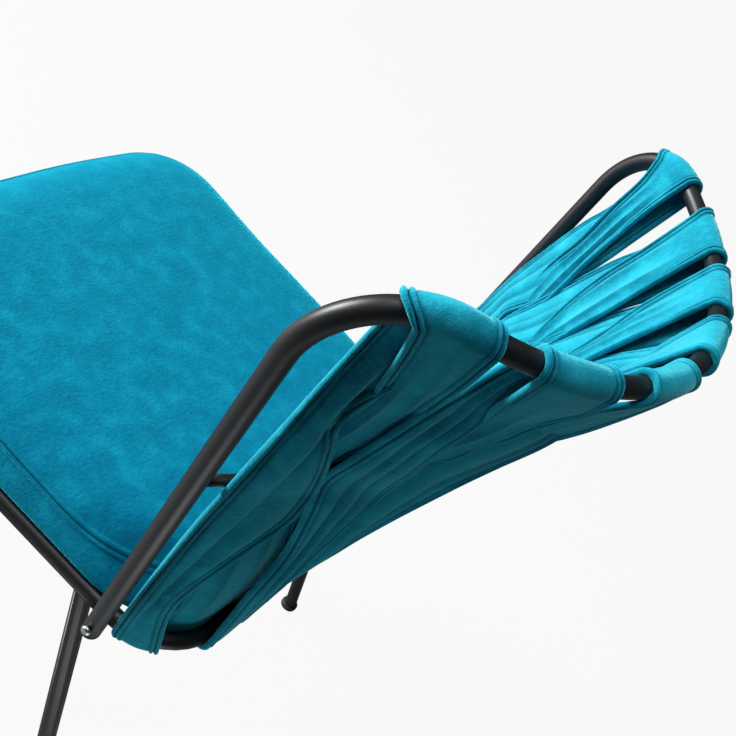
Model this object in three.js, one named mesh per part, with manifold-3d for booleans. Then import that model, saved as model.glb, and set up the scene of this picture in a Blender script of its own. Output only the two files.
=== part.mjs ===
// Strap-back chair: bent tube frame, one padded strap wound in seven wraps between rail and seat, cushion.
// Millimetres, +Z up, the sitter faces -Y, the floor is Z = 0.
import * as THREE from 'three';
import { mergeVertices } from 'three/addons/utils/BufferGeometryUtils.js';
import Module from 'manifold-3d';

const wasm = await Module();
wasm.setup();

// Driving dimensions
const seatHeight = 450; // floor to the cushion's upper seam
const railAboveSeat = 439; // cushion seam to the centre of the top rail at its ends
const tubeDiameter = 18; // top rail, posts, seat ring and legs
const rodDiameter = 10; // lumbar rod between the posts
const seatingGap = 0.3; // between pieces that rest on each other

// Top rail and posts
const railRadius = 330; // plan radius of the rail round the back
const railHalfAngle = THREE.MathUtils.degToRad(52.5);
const railDrop = 7; // the rail's back lies this much lower than its ends
const bendRadius = 77; // rail end turning down into the post
const postSetback = 182; // rail's back to the post's foot
const postTail = 4; // post below the underside of the seat ring
const plugThickness = 3;

// Seat ring
const ringHalfWidth = 245.7;
const ringBack = 112; // rail's back to the ring's rear run
const ringFront = 593; // rail's back to the ring's front run
const ringRearRadius = 72;
const ringFrontRadius = 75;
const cushionSideHeight = 38.5; // underside to the upper seam

// Lumbar rod
const rodDropFromRail = 236;
const rodSetback = 110; // rail's back to the middle of the rod

// Back bands: the seven wraps of one strap
const bandThickness = 3.8; // at the crest of a fold
const bandGap = 0.8; // band to the tube inside it
const bandBulge = 34; // how far a rising half's far edge stands out behind the rod

// Cushion
const cushionInset = 0.7; // the ring's centre line to the cushion's side
const cushionFront = 605; // rail's back to the cushion's front
const cushionRearClearance = 3; // cushion to the bands behind it
const cushionFrontRadius = 75;
const cushionRearRadius = 150;
const cushionCrown = 20;
const cushionBulge = 3;
const cushionDrawIn = 2;
const cushionUnderRadius = 7;

// Seat board and the bars under it
const boardThickness = 12;
const boardClearance = 1.5;
const boardRearRadius = 100;
const boardFrontRadius = 64;
const barWidth = 25;
const barThickness = 4;
const barSpacing = 220;
const rearBarSetback = 250;
const seatScrewSpread = 320;
const seatScrewDiameter = 4;
const seatScrewHead = 9;
const seatScrewHeadHeight = 2.5;
const seatScrewGrip = 8; // length inside the board
const screwHoleClearance = 0.4;

// Legs and glides
const rearLegSetback = 215; // rail's back to the top of the rear leg
const rearLegSplayOut = 22;
const rearLegSplayBack = 128;
const frontLegSplayOut = 26;
const frontLegSplayFore = 24;
const glideDiameter = 26;
const glideHeight = 9;
const glideEdge = 2;

// Bolts that hold the posts to the ring
const boltDiameter = 6;
const boltHead = 10;
const boltHeadHeight = 5;
const boltHoleClearance = 0.3;
const boltReach = 5; // past the ring's near wall

// Facets
const tubeSides = 12;
const rodSides = 10;
const railSteps = 96;
const rodSteps = 24;
const roundSides = 24;
const cornerSteps = 7;
const ringCornerSteps = 10;

// Worked-out places
const tubeRadius = tubeDiameter / 2;
const rodRadius = rodDiameter / 2;
const railHeight = seatHeight + railAboveSeat;
const ringHeight = seatHeight - cushionSideHeight - seatingGap - tubeRadius;
const ringTop = ringHeight + tubeRadius;
const rodHeight = railHeight - rodDropFromRail;
const railArc = railRadius * railHalfAngle;
const cushionHalfWidth = ringHalfWidth - cushionInset;
const boardBottom = ringTop - boardThickness;
const bandReach = tubeRadius + bandGap + bandThickness;
const up = new THREE.Vector3(0, 0, 1);

const paint = { color: 0x1b1d20, roughness: 0.42, metalness: 0.5 };
const steelLook = { color: 0x8b8f94, roughness: 0.35, metalness: 0.9 };
const plastic = { color: 0x161718, roughness: 0.6, metalness: 0 };
const plywood = { color: 0xb08a5c, roughness: 0.75, metalness: 0 };
const velvet = { color: 0x038eb0, roughness: 0.85, metalness: 0 };

const chair = new THREE.Group();

function addPiece(name, geometry, look) {
  const mesh = new THREE.Mesh(geometry, new THREE.MeshStandardMaterial(look));
  mesh.name = name;
  chair.add(mesh);
  return mesh;
}

// Turns a closed geometry into a solid for cuts
function toSolid(geometry) {
  const bare = geometry.clone();
  bare.deleteAttribute('normal');
  bare.deleteAttribute('uv');
  const merged = mergeVertices(bare, 1e-4);
  const mesh = new wasm.Mesh({
    numProp: 3,
    vertProperties: new Float32Array(merged.attributes.position.array),
    triVerts: new Uint32Array(merged.index.array),
  });
  return new wasm.Manifold(mesh);
}

function toGeometry(solid) {
  const mesh = solid.getMesh();
  const geometry = new THREE.BufferGeometry();
  geometry.setAttribute('position', new THREE.BufferAttribute(new Float32Array(mesh.vertProperties), 3));
  geometry.setIndex(new THREE.BufferAttribute(new Uint32Array(mesh.triVerts), 1));
  geometry.computeVertexNormals();
  return geometry;
}

function cut(geometry, ...tools) {
  let solid = toSolid(geometry);
  for (const tool of tools) solid = solid.subtract(toSolid(tool));
  return toGeometry(solid);
}

function circle(radius, sides) {
  const shape = new THREE.Shape();
  for (let i = 0; i < sides; i++) {
    const angle = (2 * Math.PI * (i + 0.5)) / sides;
    const x = radius * Math.cos(angle);
    const y = radius * Math.sin(angle);
    if (i === 0) shape.moveTo(x, y);
    else shape.lineTo(x, y);
  }
  shape.closePath();
  return shape;
}

function tube(path, radius, sides, steps) {
  return new THREE.ExtrudeGeometry(circle(radius, sides), { steps, bevelEnabled: false, extrudePath: path });
}

// Joins rows of points, each row one section, into a closed skin. It closes as a loop, or at both ends
// with a fan round the middle, or, for a flat strip, with a web from one face to the other.
function skin(rows, closing) {
  const count = rows[0].length;
  const positions = rows.flat().flatMap((p) => [p.x, p.y, p.z]);
  const index = [];
  const last = closing === 'loop' ? rows.length : rows.length - 1;
  for (let i = 0; i < last; i++) {
    const a = i * count;
    const b = ((i + 1) % rows.length) * count;
    for (let j = 0; j < count; j++) {
      const k = (j + 1) % count;
      index.push(a + j, a + k, b + k, a + j, b + k, b + j);
    }
  }
  const top = (rows.length - 1) * count;
  if (closing === 'web') {
    for (let j = 0; j < count / 2 - 1; j++) {
      const far = count - 1 - j;
      index.push(j, far, far - 1, j, far - 1, j + 1);
      index.push(top + j, top + far - 1, top + far, top + j, top + j + 1, top + far - 1);
    }
  }
  if (closing === 'fan') {
    const start = positions.length / 3;
    for (const row of [rows[0], rows[rows.length - 1]]) {
      const middle = new THREE.Vector3();
      for (const p of row) middle.addScaledVector(p, 1 / row.length);
      positions.push(middle.x, middle.y, middle.z);
    }
    for (let j = 0; j < count; j++) {
      const k = (j + 1) % count;
      index.push(start, k, j, start + 1, top + j, top + k);
    }
  }
  const geometry = new THREE.BufferGeometry();
  geometry.setAttribute('position', new THREE.Float32BufferAttribute(positions, 3));
  geometry.setIndex(index);
  geometry.computeVertexNormals();
  return geometry;
}

// A round bend that starts at a point along one direction and turns toward another
class Bend extends THREE.Curve {
  constructor(start, along, toward, radius, angle) {
    super();
    Object.assign(this, { start, along, toward, radius, angle });
  }

  getPoint(t, target = new THREE.Vector3()) {
    const turn = this.angle * t;
    return target
      .copy(this.start)
      .addScaledVector(this.along, this.radius * Math.sin(turn))
      .addScaledVector(this.toward, this.radius * (1 - Math.cos(turn)));
  }
}

// Top rail: an arc in plan, lower at the back by the drop
function railPoint(angle) {
  const x = railRadius * Math.sin(angle);
  const y = railRadius * (Math.cos(angle) - 1);
  const share = (1 - Math.cos(angle)) / (1 - Math.cos(railHalfAngle));
  return new THREE.Vector3(x, y, railHeight - railDrop * (1 - share));
}

class RailArc extends THREE.Curve {
  getPoint(t, target = new THREE.Vector3()) {
    return target.copy(railPoint(railHalfAngle * (2 * t - 1)));
  }
}

// Bend and post at the rail's +X end
const railEnd = railPoint(railHalfAngle);
const railEndAlong = new THREE.Vector3(Math.cos(railHalfAngle), -Math.sin(railHalfAngle), 0);
const postFoot = new THREE.Vector3(
  ringHalfWidth + 2 * tubeRadius + seatingGap,
  -postSetback,
  ringHeight,
);
const postDown = new THREE.Vector3(0, 0, -1);
const bendToward = new THREE.Vector3();
let bendAngle = 0;
let postTop = new THREE.Vector3();
for (let pass = 0; pass < 30; pass++) {
  const share = postDown.dot(railEndAlong);
  bendToward.copy(postDown).addScaledVector(railEndAlong, -share).normalize();
  bendAngle = Math.acos(share);
  postTop = new Bend(railEnd, railEndAlong, bendToward, bendRadius, bendAngle).getPoint(1);
  postDown.copy(postFoot).sub(postTop).normalize();
}
const postEnd = postFoot.clone().addScaledVector(postDown, tubeRadius + postTail);

function mirrored(point) {
  return new THREE.Vector3(-point.x, point.y, point.z);
}

function postCentre(height) {
  return postFoot.clone().addScaledVector(postDown, (ringHeight - height) / -postDown.z);
}

function makeRail() {
  const path = new THREE.CurvePath();
  const rightBend = new Bend(railEnd, railEndAlong, bendToward, bendRadius, bendAngle);
  const leftPoints = new Bend(
    mirrored(railEnd), mirrored(railEndAlong), mirrored(bendToward), bendRadius, bendAngle,
  );
  const leftBend = new THREE.Curve();
  leftBend.getPoint = (t, target) => leftPoints.getPoint(1 - t, target);
  path.add(new THREE.LineCurve3(mirrored(postEnd), mirrored(postTop)));
  path.add(leftBend);
  path.add(new RailArc());
  path.add(rightBend);
  path.add(new THREE.LineCurve3(postTop, postEnd));
  return tube(path, tubeRadius, tubeSides, railSteps);
}

// Outline of a seat-shaped plate or loop, anticlockwise from the rear middle, shrunk by an inset
function seatOutline(halfWidth, back, front, rearRadius, frontRadius, inset, steps) {
  const points = [];
  const half = halfWidth - inset;
  const rear = -back - inset;
  const fore = -front + inset;
  const rearR = rearRadius - inset;
  const foreR = frontRadius - inset;
  const corners = [
    [-half + rearR, rear - rearR, rearR, Math.PI / 2],
    [-half + foreR, fore + foreR, foreR, Math.PI],
    [half - foreR, fore + foreR, foreR, 1.5 * Math.PI],
    [half - rearR, rear - rearR, rearR, 0],
  ];
  for (const [x, y, radius, from] of corners) {
    for (let i = 0; i <= steps; i++) {
      const angle = from + (0.5 * Math.PI * i) / steps;
      points.push(new THREE.Vector2(x + radius * Math.cos(angle), y + radius * Math.sin(angle)));
    }
  }
  return points;
}

// Seat ring: the tube's centre line with its outward direction, by distance from the rear middle
const ringRearRun = ringHalfWidth - ringRearRadius;
const ringQuarter = (Math.PI / 2) * ringRearRadius;

function ringPlace(distance) {
  const side = Math.sign(distance) || 1;
  const along = Math.abs(distance);
  const turn = THREE.MathUtils.clamp((along - ringRearRun) / ringRearRadius, 0, Math.PI / 2);
  const past = Math.max(0, along - ringRearRun - ringQuarter);
  const x = Math.min(along, ringRearRun) + ringRearRadius * Math.sin(turn);
  const y = -ringBack - ringRearRadius * (1 - Math.cos(turn)) - past;
  return {
    centre: new THREE.Vector3(side * x, y, ringHeight),
    out: new THREE.Vector3(side * Math.sin(turn), Math.cos(turn), 0),
    rise: up,
  };
}

function makeRing(radius) {
  const line = seatOutline(
    ringHalfWidth, ringBack, ringFront, ringRearRadius, ringFrontRadius, 0, ringCornerSteps,
  );
  const rows = line.map((point, i) => {
    const before = line[(i + line.length - 1) % line.length];
    const after = line[(i + 1) % line.length];
    const inTurn = point.clone().sub(before).normalize();
    const outTurn = after.clone().sub(point).normalize();
    const along = inTurn.add(outTurn).normalize();
    const side = new THREE.Vector3(along.y, -along.x, 0);
    const row = [];
    for (let j = 0; j < tubeSides; j++) {
      const angle = (-2 * Math.PI * (j + 0.5)) / tubeSides;
      row.push(
        new THREE.Vector3(point.x, point.y, ringHeight)
          .addScaledVector(side, radius * Math.cos(angle))
          .addScaledVector(up, radius * Math.sin(angle)),
      );
    }
    return row;
  });
  return skin(rows, 'loop');
}

// Lumbar rod: an arc from post to post
const rodMeet = postCentre(rodHeight);
const rodSagitta = -rodMeet.y - rodSetback;
const rodBow = (rodMeet.x * rodMeet.x + rodSagitta * rodSagitta) / (2 * rodSagitta);

function rodPlace(distance) {
  const angle = distance / rodBow;
  return {
    centre: new THREE.Vector3(
      rodBow * Math.sin(angle), -rodSetback - rodBow * (1 - Math.cos(angle)), rodHeight,
    ),
    out: new THREE.Vector3(Math.sin(angle), Math.cos(angle), 0),
    rise: up,
  };
}

const rodReach = rodBow * Math.asin(rodMeet.x / rodBow);

class RodArc extends THREE.Curve {
  getPoint(t, target = new THREE.Vector3()) {
    return target.copy(rodPlace(rodReach * (2 * t - 1)).centre);
  }
}

// Rail's centre line with its outward and upward directions, by distance from the rear middle
function railPlace(distance) {
  const side = Math.sign(distance) || 1;
  const along = Math.abs(distance);
  const angle = Math.min(along, railArc) / railRadius;
  const turn = Math.max(0, along - railArc) / bendRadius;
  const centre = railPoint(angle);
  const rise = up.clone();
  if (turn > 0) {
    centre.copy(railEnd)
      .addScaledVector(railEndAlong, bendRadius * Math.sin(turn))
      .addScaledVector(bendToward, bendRadius * (1 - Math.cos(turn)));
    rise.copy(railEndAlong).multiplyScalar(Math.sin(turn)).addScaledVector(bendToward, -Math.cos(turn));
  }
  const out = new THREE.Vector3(Math.sin(angle), Math.cos(angle), 0);
  if (side < 0) return { centre: mirrored(centre), out: mirrored(out), rise: mirrored(rise) };
  return { centre, out, rise };
}

// A point at an angle round a tube: 0 is outward, 90 is up
function roundTube(place, radius, degrees) {
  const angle = THREE.MathUtils.degToRad(degrees);
  return place.centre.clone()
    .addScaledVector(place.out, radius * Math.cos(angle))
    .addScaledVector(place.rise, radius * Math.sin(angle));
}

// The strap is wound as a figure of eight. A wrap's falling half comes down from the rail's outside, in
// front of the rod and inside the ring. Its rising half comes up outside the ring and behind the rod to
// the rail's inside. Each is drawn in to a waist where the halves pass each other side by side, and
// under the ring each falling half runs into the rising half of the next wrap.
// Places from the sitter's left, as shares of the half lengths of rail, rod and ring up to the posts.
const railShares = [1.015, 0.645, 0.271, -0.129, -0.456, -0.742, -1.071];
const rodFallShares = [0.67, 0.418, 0.167, -0.084, -0.333, -0.58, -0.837];
const rodRiseShares = [0.795, 0.544, 0.293, 0.042, -0.209, -0.46, -0.711];
const ringShares = [0.87, 0.576, 0.256, -0.01, -0.246, -0.48, -0.716, -0.95];
const ringSpreadShares = [0.6, 0.93, 1, 1, 1, 1, 1, 0.75];
const bulgeShares = [0.35, 0.6, 1, 1, 1, 1, 0.6];
const postAlongRing = ringRearRun + ringQuarter + postSetback - ringBack - ringRearRadius;

// Half widths of the strap where it spreads on each tube, and at the waist
const railSpread = railArc * 0.129;
const rodSpread = rodReach * 0.11;
const ringSpread = postAlongRing * 0.109;
const waistSpread = rodReach * 0.053;
const waistLean = rodReach * 0.068;

// The angle at which a straight run from a point leaves a tube, on its outer or inner side
function leavingAngle(place, radius, point, side) {
  const way = point.clone().sub(place.centre);
  const reach = Math.hypot(way.dot(place.out), way.dot(place.rise));
  const toward = Math.atan2(way.dot(place.rise), way.dot(place.out));
  return THREE.MathUtils.radToDeg(toward + side * Math.acos(radius / reach));
}

function steps(from, to, count) {
  return Array.from({ length: count + 1 }, (_, i) => from + ((to - from) * i) / count);
}

// The stations of a free run from rail to rod: how far down it is, how far the strap has leaned over to
// its side, its half width between that at the rail and that at the waist, its thickness, and how far
// the rising half's far edge has swung out behind the rod, all as shares
const fallingRun = [[0.24, 0.55, 0.5, 1.05, 0], [0.44, 1, 1, 1.2, 0], [0.7, 1, 1, 1.15, 0], [0.86, 1, 0.5, 1.05, 0]];
const risingRun = [[0.22, 0.55, 0.5, 1.05, 0], [0.43, 1, 1, 1.2, 0], [0.64, 1, 1, 1.15, 0.35], [0.82, 0.78, 0.5, 1.05, 0.72]];

// One lengthwise thread of a half wrap, from the rail's top to under the ring.
// Side 1 is the falling half and -1 the rising half. Each point comes with its thickness as a share.
function bandThread(index, across, side) {
  const rodShares = side > 0 ? rodFallShares : rodRiseShares;
  const lane = side > 0 ? index + 1 : index;
  const wrap = tubeRadius + bandGap + bandThickness / 2;
  const rodWrap = rodRadius + bandGap + bandThickness / 2;
  const rodAngle = side > 0 ? 180 : 0;
  const bulge = side > 0 ? 0 : bandBulge * bulgeShares[index] * (1 - across) / 2;
  const railMiddle = railArc * railShares[index];
  const rail = railPlace(railMiddle + across * railSpread);
  const rod = rodPlace(rodReach * rodShares[index] + across * rodSpread);
  const ringAlong = postAlongRing * ringShares[lane] + across * ringSpread * ringSpreadShares[lane];
  const ring = ringPlace(ringAlong);

  const rodPoint = roundTube(rod, rodWrap, rodAngle);
  let leave = leavingAngle(rail, wrap, rodPoint, side);
  if (side < 0 && leave < 0) leave += 360;
  const over = steps(90, leave, side > 0 ? 5 : 3).map((degrees) => [roundTube(rail, wrap, degrees), 1]);
  const rodMiddle = (rodReach * (rodFallShares[index] + rodRiseShares[index])) / 2;
  const run = (side > 0 ? fallingRun : risingRun).map(([down, lean, drawn, thickness, swing]) => {
    const spread = THREE.MathUtils.lerp(railSpread, waistSpread, drawn);
    const offset = across * spread - side * waistLean * lean;
    const high = roundTube(railPlace(railMiddle + offset), wrap, leave);
    const low = rodPlace(rodMiddle + offset);
    const point = high.lerp(roundTube(low, rodWrap, rodAngle), down);
    return [point.addScaledVector(low.out, bulge * swing), thickness];
  });

  const touch = roundTube(rod, rodWrap + bulge, rodAngle);
  const rodPoints = [[touch, 1]];
  if (side > 0) {
    const reach = leavingAngle(rod, rodWrap, roundTube(rail, wrap, leave), 1);
    rodPoints.unshift([roundTube(rod, rodWrap, reach), 1]);
  }
  const under = steps(rodAngle, side > 0 ? 270 : -90, 4).map((degrees) => roundTube(ring, wrap, degrees));
  under[under.length - 1].addScaledVector(ring.out, (-side * seatingGap) / 2);
  return [
    ...over,
    ...run,
    ...rodPoints,
    [touch.clone().lerp(under[0], 0.5), 1.05],
    ...under.map((point) => [point, 1]),
  ];
}

// Across a band, as shares of its half width and half thickness: a rolled welt at each edge, a groove,
// and two long soft folds with a valley between them
const acrossShares = [-1, -0.92, -0.8, -0.45, 0, 0.45, 0.8, 0.92, 1];
const foldShares = [0.4, 1, 0.6, 1, 0.55, 1, 0.6, 1, 0.4];

// Sections of a half wrap from the rail's top to under the ring, all turned the same way round the strap
function halfWrap(index, side) {
  const threads = acrossShares.map((across) => bandThread(index, across, side));
  const stations = threads[0].length;
  const ringLane = postAlongRing * ringShares[side > 0 ? index + 1 : index];
  const ends = [railPlace(railArc * railShares[index]).out, ringPlace(ringLane).out];
  return threads[0].map((_, i) => {
    const one = [];
    const other = [];
    threads.forEach((thread, j) => {
      const left = threads[Math.max(0, j - 1)][i][0];
      const right = threads[Math.min(threads.length - 1, j + 1)][i][0];
      const along = new THREE.Vector3();
      if (i === 0) along.copy(ends[0]).multiplyScalar(side);
      else if (i === stations - 1) along.copy(ends[1]).multiplyScalar(side);
      else along.copy(thread[i + 1][0]).sub(thread[i - 1][0]);
      const normal = right.clone().sub(left).cross(along).multiplyScalar(-side).normalize();
      const [point, thickness] = thread[i];
      const half = (bandThickness / 2) * foldShares[j] * thickness;
      one.push(point.clone().addScaledVector(normal, half));
      other.unshift(point.clone().addScaledVector(normal, -half));
    });
    return [...one, ...other];
  });
}

function makeBand(index) {
  return skin([...halfWrap(index, 1).reverse(), ...halfWrap(index, -1).slice(1)], 'web');
}

// Cushion: rounded plan, drawn in at the seam, bulging sides, crowned top.
// The crown's steps are pairs: a share of its height, and a share of the front corner's radius drawn in.
const crownShares = [[0.22, 0.05], [0.5, 0.2], [0.78, 0.5], [0.93, 0.95]];
const flatTopShare = 0.5;

function makeCushion() {
  const back = ringBack + bandReach + cushionRearClearance + cushionBulge;
  const bottom = ringTop + seatingGap;
  const middle = (bottom + seatHeight) / 2;
  const levels = [
    [bottom, cushionUnderRadius],
    [bottom + cushionUnderRadius / 2, cushionUnderRadius / 4],
    [bottom + cushionUnderRadius, 0],
    [middle, -cushionBulge],
    [seatHeight - cushionDrawIn, -cushionBulge / 3],
    [seatHeight, cushionDrawIn],
  ];
  for (const [rise, inset] of crownShares) {
    levels.push([seatHeight + cushionCrown * rise, cushionFrontRadius * inset]);
  }
  const rows = levels.map(([z, inset]) => seatOutline(
    cushionHalfWidth, back, cushionFront, cushionRearRadius, cushionFrontRadius, inset, cornerSteps,
  ).map((point) => new THREE.Vector3(point.x, point.y, z)));
  const rim = rows[rows.length - 1];
  const middleY = -(back + cushionFront) / 2;
  rows.push(rim.map((point) => new THREE.Vector3(
    point.x * flatTopShare, middleY + (point.y - middleY) * flatTopShare, seatHeight + cushionCrown,
  )));
  return skin(rows, 'fan');
}

// Flat plate from an outline, with round holes
function plate(points, holes, holeRadius, thickness) {
  const shape = new THREE.Shape(points);
  for (const [x, y] of holes) {
    const hole = new THREE.Path();
    hole.absarc(x, y, holeRadius, 0, 2 * Math.PI, true);
    shape.holes.push(hole);
  }
  return new THREE.ExtrudeGeometry(shape, { depth: thickness, bevelEnabled: false, curveSegments: 5 });
}

const barSetbacks = [rearBarSetback, rearBarSetback + barSpacing];
const screwPlaces = barSetbacks.flatMap((setback) => [-1, 1].map((side) => [side * seatScrewSpread / 2, -setback]));
const screwHole = seatScrewDiameter / 2 + screwHoleClearance;

function makeBoard() {
  const outline = seatOutline(
    ringHalfWidth - tubeRadius - boardClearance,
    ringBack + bandReach + boardClearance,
    ringFront - tubeRadius - boardClearance,
    boardRearRadius, boardFrontRadius, 0, cornerSteps,
  );
  return plate(outline, screwPlaces, screwHole, boardThickness - seatingGap).translate(0, 0, boardBottom);
}

function makeBar(setback) {
  const half = ringHalfWidth - tubeRadius - seatingGap;
  const outline = [
    new THREE.Vector2(-half, -setback - barWidth / 2),
    new THREE.Vector2(half, -setback - barWidth / 2),
    new THREE.Vector2(half, -setback + barWidth / 2),
    new THREE.Vector2(-half, -setback + barWidth / 2),
  ];
  const holes = screwPlaces.filter((place) => place[1] === -setback);
  const low = boardBottom - seatingGap - barThickness;
  return plate(outline, holes, screwHole, barThickness).translate(0, 0, low);
}

// Turned profile round Z, from rows of [radius, height]
function turned(profile, sides) {
  const geometry = new THREE.LatheGeometry(profile.map(([r, z]) => new THREE.Vector2(r, z)), sides);
  return geometry.rotateX(Math.PI / 2);
}

function makeScrew() {
  const shaft = seatScrewDiameter / 2;
  const head = seatScrewHead / 2;
  return turned([
    [0, -seatScrewHeadHeight],
    [head * 0.6, -seatScrewHeadHeight],
    [head, -seatScrewHeadHeight * 0.3],
    [head, 0],
    [shaft, 0],
    [shaft, barThickness + seatScrewGrip],
    [0, barThickness + seatScrewGrip + shaft],
  ], roundSides / 2);
}

function makeGlide() {
  const radius = glideDiameter / 2;
  return turned([
    [0, 0],
    [radius - glideEdge, 0],
    [radius, glideEdge],
    [radius, glideHeight - glideEdge],
    [radius - glideEdge, glideHeight],
    [0, glideHeight],
  ], roundSides);
}

function makePlug() {
  return turned([
    [0, 0],
    [tubeRadius, 0],
    [tubeRadius, plugThickness * 0.6],
    [tubeRadius * 0.8, plugThickness],
    [0, plugThickness],
  ], roundSides);
}

function makeBolt() {
  const head = boltHead / 2;
  const shaft = boltDiameter / 2;
  const reach = 2 * tubeRadius + seatingGap * 2 + boltReach;
  return turned([
    [0, -boltHeadHeight],
    [head * 0.7, -boltHeadHeight],
    [head, -boltHeadHeight * 0.6],
    [head, 0],
    [shaft, 0],
    [shaft, reach],
    [0, reach],
  ], roundSides / 2);
}

// A round bar between two points
function bar(from, to, radius, sides) {
  return tube(new THREE.LineCurve3(from, to), radius, sides, 1);
}

function makeLeg(top, foot, side) {
  const from = new THREE.Vector3(side * top.x, top.y, ringHeight);
  const to = new THREE.Vector3(side * foot.x, foot.y, glideHeight + seatingGap);
  const past = to.clone().sub(from).normalize().multiplyScalar(tubeDiameter).add(to);
  const floorCut = new THREE.BoxGeometry(tubeDiameter * 4, tubeDiameter * 4, tubeDiameter * 2);
  floorCut.translate(past.x, past.y, glideHeight + seatingGap - tubeDiameter);
  return cut(bar(from, past, tubeRadius, tubeSides), floorCut, makeRing(tubeRadius + seatingGap));
}

// Frame
const boltPlaces = [1, -1].map((side) => {
  const outside = postFoot.x + tubeRadius + seatingGap;
  return { side, x: side * outside, y: -postSetback, z: ringHeight };
});

function boltHole({ side, x, y, z }) {
  const inside = side * (ringHalfWidth - boltReach / 2 + tubeRadius - boltReach);
  return bar(
    new THREE.Vector3(x + side * boltHead, y, z),
    new THREE.Vector3(inside, y, z),
    boltDiameter / 2 + boltHoleClearance, roundSides / 2,
  );
}

const boltHoles = boltPlaces.map(boltHole);
addPiece('rail_and_posts', cut(makeRail(), ...boltHoles), paint);
addPiece('seat_ring', cut(makeRing(tubeRadius), ...boltHoles), paint);

const postClearance = [1, -1].map((side) => {
  const high = postCentre(rodHeight + tubeDiameter * 2);
  const low = postCentre(rodHeight - tubeDiameter * 2);
  const ends = side > 0 ? [high, low] : [mirrored(high), mirrored(low)];
  return bar(ends[0], ends[1], tubeRadius + seatingGap, tubeSides * 2);
});
addPiece('lumbar_rod', cut(tube(new RodArc(), rodRadius, rodSides, rodSteps), ...postClearance), paint);

const rearLegTop = new THREE.Vector3(ringHalfWidth, -rearLegSetback, ringHeight);
const frontCornerShare = 1 - Math.SQRT1_2;
const frontLegTop = new THREE.Vector3(
  ringHalfWidth - ringFrontRadius * frontCornerShare, -ringFront + ringFrontRadius * frontCornerShare, ringHeight,
);
const rearLegFoot = new THREE.Vector2(rearLegTop.x + rearLegSplayOut, rearLegTop.y + rearLegSplayBack);
const frontLegFoot = new THREE.Vector2(frontLegTop.x + frontLegSplayOut, frontLegTop.y - frontLegSplayFore);

for (const [side, word] of [[1, 'left'], [-1, 'right']]) {
  for (const [place, top, foot] of [['front', frontLegTop, frontLegFoot], ['rear', rearLegTop, rearLegFoot]]) {
    addPiece(`leg_${place}_${word}`, makeLeg(top, foot, side), paint);
    addPiece(`glide_${place}_${word}`, makeGlide(), plastic).position.set(side * foot.x, foot.y, 0);
  }
  const boltPlace = boltPlaces.find((item) => item.side === side);
  const bolt = addPiece(`post_bolt_${word}`, makeBolt(), steelLook);
  bolt.position.set(boltPlace.x, boltPlace.y, boltPlace.z);
  bolt.rotation.y = (-side * Math.PI) / 2;
  const plug = addPiece(`post_plug_${word}`, makePlug(), plastic);
  const end = postEnd.clone().addScaledVector(postDown, seatingGap);
  plug.position.copy(side > 0 ? end : mirrored(end));
  plug.quaternion.setFromUnitVectors(up, side > 0 ? postDown : mirrored(postDown));
}

// Seat
addPiece('seat_bar_rear', makeBar(barSetbacks[0]), paint);
addPiece('seat_bar_front', makeBar(barSetbacks[1]), paint);
addPiece('seat_board', makeBoard(), plywood);
screwPlaces.forEach(([x, y], i) => {
  const low = boardBottom - 2 * seatingGap - barThickness;
  addPiece(`seat_screw_${i + 1}`, makeScrew(), steelLook).position.set(x, y, low);
});
addPiece('seat_cushion', makeCushion(), velvet);

// Bands, numbered from the sitter's left
railShares.forEach((_, i) => addPiece(`back_band_${i + 1}`, makeBand(i), velvet));

// The origin is on the floor under the middle of the chair
const bounds = new THREE.Box3().setFromObject(chair);
chair.position.y = -(bounds.min.y + bounds.max.y) / 2;

export default chair;
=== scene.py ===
# %% [markdown]
# # A strap-back chair in black tube and teal velvet
# The chair has a frame of bent steel tube: a top rail that sweeps round the sitter's back and turns down
# into two posts, a thin lumbar rod between the posts, and a ring that carries the seat. One padded velvet
# strap is wound between the rail and the ring to make the back, and a thick velvet cushion lies on the
# seat. The frame's parts keep the CAD model's shapes and get their finishes here, and only the rail is
# swept again, for a rounder bend. The strap and the cushion are modelled anew, because cloth needs
# folds, seams and a pile.

# %% Load the frame
import math
import bmesh
import bpy
import numpy as np
from mathutils import Matrix, Vector, noise
from mathutils.bvhtree import BVHTree


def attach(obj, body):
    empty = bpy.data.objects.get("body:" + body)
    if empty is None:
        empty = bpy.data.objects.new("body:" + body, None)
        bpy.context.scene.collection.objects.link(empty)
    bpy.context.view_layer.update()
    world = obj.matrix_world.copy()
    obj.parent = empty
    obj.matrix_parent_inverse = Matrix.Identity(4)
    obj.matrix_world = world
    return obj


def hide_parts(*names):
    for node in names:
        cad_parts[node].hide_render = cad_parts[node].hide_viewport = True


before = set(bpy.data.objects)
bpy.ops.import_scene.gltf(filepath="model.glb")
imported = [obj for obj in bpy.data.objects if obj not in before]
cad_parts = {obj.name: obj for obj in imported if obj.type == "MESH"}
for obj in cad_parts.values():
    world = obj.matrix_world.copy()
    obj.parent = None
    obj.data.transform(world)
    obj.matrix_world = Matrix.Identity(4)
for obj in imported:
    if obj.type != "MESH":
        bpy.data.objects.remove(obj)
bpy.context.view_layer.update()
scene = bpy.context.scene
print("nodes:", len(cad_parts))

# %% [markdown]
# ## The chair's own sizes
# The strap has to follow the rail, the rod and the ring exactly, so their centre lines are worked out
# here from the same sizes as the metal: radii, heights and how far each lies behind the rail's back.
# Lengths are in millimetres with the rail's back at y = 0, which reads like a drawing. The function
# metres() turns a point into metres at its place in the model.

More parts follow.
